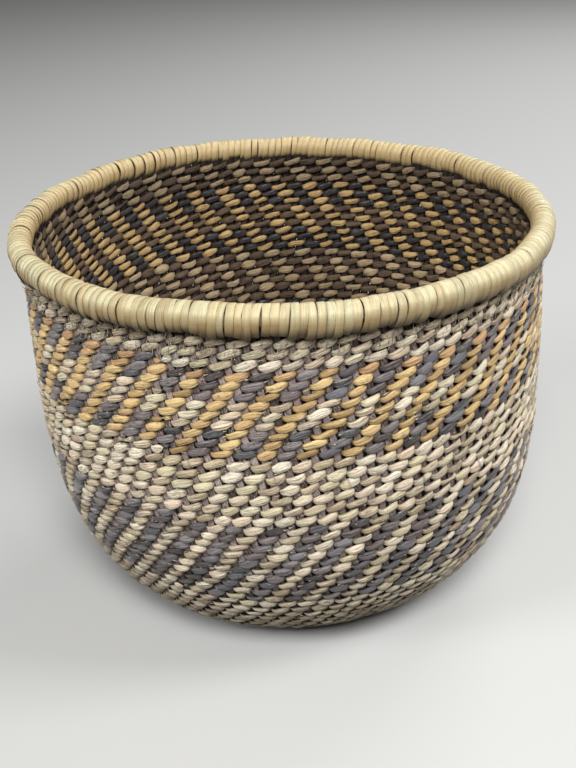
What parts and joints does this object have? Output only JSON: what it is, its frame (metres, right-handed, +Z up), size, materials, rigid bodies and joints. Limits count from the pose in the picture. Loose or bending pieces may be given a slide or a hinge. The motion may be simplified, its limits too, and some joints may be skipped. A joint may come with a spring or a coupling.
{
  "type": "twined basket",
  "caption": "Round bowl-shaped twined basket with an open mouth, a flat base and a wrapped rim, woven in pale, gold and dark bands.",
  "frame": {"origin": "centre of the base's underside, on the surface that the basket stands on", "axes": "+Z up along the basket's axis, towards its open mouth; X and Y across it, with the side where the heel sags out of round near +X"},
  "size_m": [0.2044, 0.2044, 0.1509],
  "materials": {
    "natural_weft": "dry split plant fibre, pale straw grey",
    "gold_weft": "dry plant fibre, gold, twined with dark and pale strands",
    "dark_weft": "dyed plant fibre, blue grey, twined with pale strands",
    "warp": "purple grey split stakes, matt",
    "rim_split": "glossy straw-coloured split",
    "rod": "peeled round withe"
  },
  "bodies": {
    "root": {"base_weft_inner": "natural_weft", "base_weft_outer": "natural_weft", "centre_gold_weft_inner": "gold_weft", "centre_gold_weft_outer": "gold_weft", "heel_weft_inner": "natural_weft", "heel_weft_outer": "natural_weft", "lower_dark_weft_inner": "dark_weft", "lower_dark_weft_outer": "dark_weft", "lower_gold_weft_inner": "gold_weft", "lower_gold_weft_outer": "gold_weft", "middle_pale_weft_inner": "natural_weft", "middle_pale_weft_outer": "natural_weft", "rim_rod": "rod", "rim_wrapping": "rim_split", "start_knot": "warp", "top_pale_weft_inner": "natural_weft", "top_pale_weft_outer": "natural_weft", "upper_gold_weft_inner": "gold_weft", "upper_gold_weft_outer": "gold_weft", "warp_01": "warp", "warp_02": "warp", "warp_03": "warp", "warp_04": "warp", "warp_05": "warp", "warp_06": "warp", "warp_07": "warp", "warp_08": "warp", "warp_09": "warp", "warp_10": "warp", "warp_11": "warp", "warp_12": "warp", "warp_13": "warp", "warp_14": "warp", "warp_15": "warp", "warp_16": "warp", "warp_17": "warp", "warp_18": "warp", "warp_19": "warp", "warp_20": "warp", "warp_21": "warp", "warp_22": "warp", "warp_23": "warp", "warp_24": "warp", "warp_25": "warp", "warp_26": "warp", "warp_27": "warp", "warp_28": "warp", "warp_29": "warp", "warp_30": "warp", "warp_31": "warp", "warp_32": "warp", "warp_33": "warp", "warp_34": "warp", "warp_35": "warp", "warp_36": "warp", "warp_37": "warp", "warp_38": "warp", "warp_39": "warp", "warp_40": "warp"}
  },
  "joints": []
}
